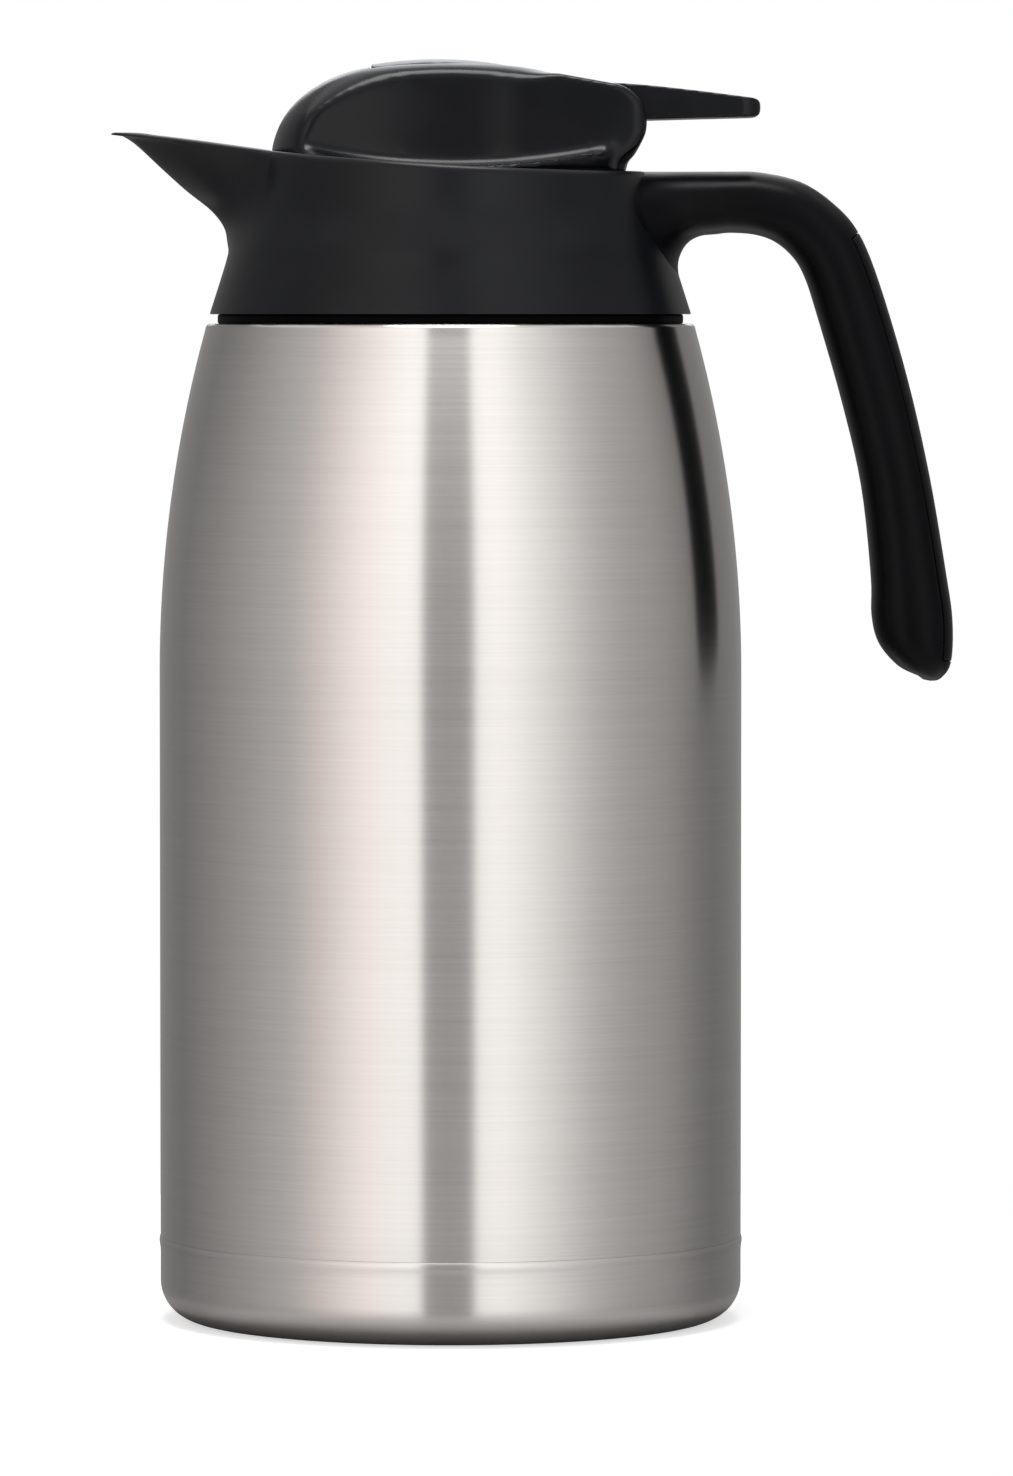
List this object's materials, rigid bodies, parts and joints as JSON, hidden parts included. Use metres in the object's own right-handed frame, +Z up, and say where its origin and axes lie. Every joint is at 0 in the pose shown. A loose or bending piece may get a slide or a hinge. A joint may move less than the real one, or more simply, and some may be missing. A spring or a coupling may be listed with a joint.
{
  "type": "vacuum carafe",
  "caption": "Double-walled steel vacuum carafe with a spouted collar, an arch handle and a lift-out stopper whose thumb lever opens a spring valve for pouring.",
  "frame": {"origin": "on the body's axis, at the plane it rests on", "axes": "+Z up along the body's axis, +X towards the handle and the thumb lever, -X towards the spout"},
  "size_m": [0.1887, 0.1308, 0.2824],
  "materials": {
    "brushed_body": "brushed round the body, satin",
    "flask_steel": "drawn and electropolished",
    "foil": "thin bright foil",
    "seal_metal": "melted bead",
    "getter_metal": "pressed pellet",
    "base_pad": "matte",
    "black_rubber": "matte",
    "satin_black": "satin moulding",
    "grip_black": "satin, very fine grain",
    "dark_moulding": "moulded",
    "silicone": "translucent, soft sheen",
    "small_steel": "bright wire and pins"
  },
  "bodies": {
    "carafe": {"outer_shell": "brushed_body", "base_cup": "brushed_body", "base_disc": "base_pad", "vacuum_seal": "seal_metal", "inner_flask": "flask_steel", "flask_foil": "foil", "getter": "getter_metal", "collar_gasket": "black_rubber", "collar": "satin_black", "pour_liner": "dark_moulding", "mouth_gasket": "silicone", "handle": "grip_black", "handle_cover": "grip_black", "handle_screws": "small_steel"},
    "plug_ring": {"plug_gasket": "silicone"},
    "stopper": {"stopper_plug": "dark_moulding", "lid_cover": "satin_black", "lever_frame": "dark_moulding", "lever_pin": "small_steel", "stem_guide": "dark_moulding", "stem_seal": "silicone", "valve_spring": "small_steel"},
    "lever": {"lever": "satin_black"},
    "valve": {"valve_stem": "dark_moulding", "stem_pin": "small_steel", "valve_disc": "dark_moulding", "valve_seal": "silicone"}
  },
  "joints": [
    {"name": "stopper_lift", "type": "slide", "parent": "carafe", "child": "plug_ring", "axis": [0, 0, 1], "range_m": [0, 0.06]},
    {"name": "stopper_turn", "type": "hinge", "parent": "plug_ring", "child": "stopper", "pos_m": [0, 0, 0.25], "axis": [0, 0, 1], "range_deg": [0, 90]},
    {"name": "lever_press", "type": "hinge", "parent": "stopper", "child": "lever", "pos_m": [0.035, 0, 0.268], "axis": [0, 1, 0], "range_deg": [0, 12], "stiffness_Nm_per_rad": 0.5, "springref_deg": -5.73},
    {"name": "valve_lift", "type": "slide", "parent": "stopper", "child": "valve", "axis": [0, 0, 1], "range_m": [0, 0.0072], "deforming": ["valve_spring"]}
  ],
  "couplings": [
    {"joint": "lever_press", "follows": "valve_lift", "rad_per_m": 28.571}
  ]
}
